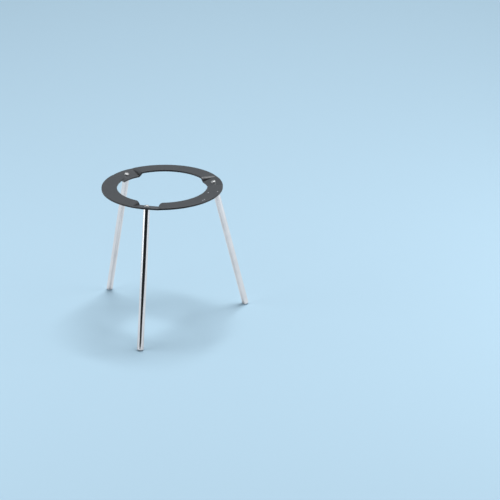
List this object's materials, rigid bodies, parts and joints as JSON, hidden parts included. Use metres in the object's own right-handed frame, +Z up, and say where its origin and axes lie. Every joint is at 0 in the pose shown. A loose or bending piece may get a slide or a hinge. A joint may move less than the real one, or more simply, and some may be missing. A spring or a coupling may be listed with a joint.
{
  "type": "lab tripod stand",
  "caption": "Bench tripod for holding a dish, flask or wire gauze over a burner: a flat painted steel ring with pressed pads on splayed round plated legs held by screws.",
  "frame": {"origin": "on the bench, under the centre of the ring", "axes": "+Z up along the ring's axis; -Y towards the foot of leg 1, legs 2 and 3 follow anticlockwise; +X to the right seen from the front"},
  "size_m": [0.1924, 0.1855, 0.1752],
  "materials": {
    "ring_paint": "dark grey semi-matt baked enamel on pressed steel sheet",
    "leg_plating": "bright plated and polished steel bar",
    "screw_plating": "bright nickel-plated steel screw"
  },
  "bodies": {
    "root": {"ring": "ring_paint", "leg_1": "leg_plating", "leg_2": "leg_plating", "leg_3": "leg_plating", "screw_1": "screw_plating", "screw_2": "screw_plating", "screw_3": "screw_plating"}
  },
  "joints": []
}
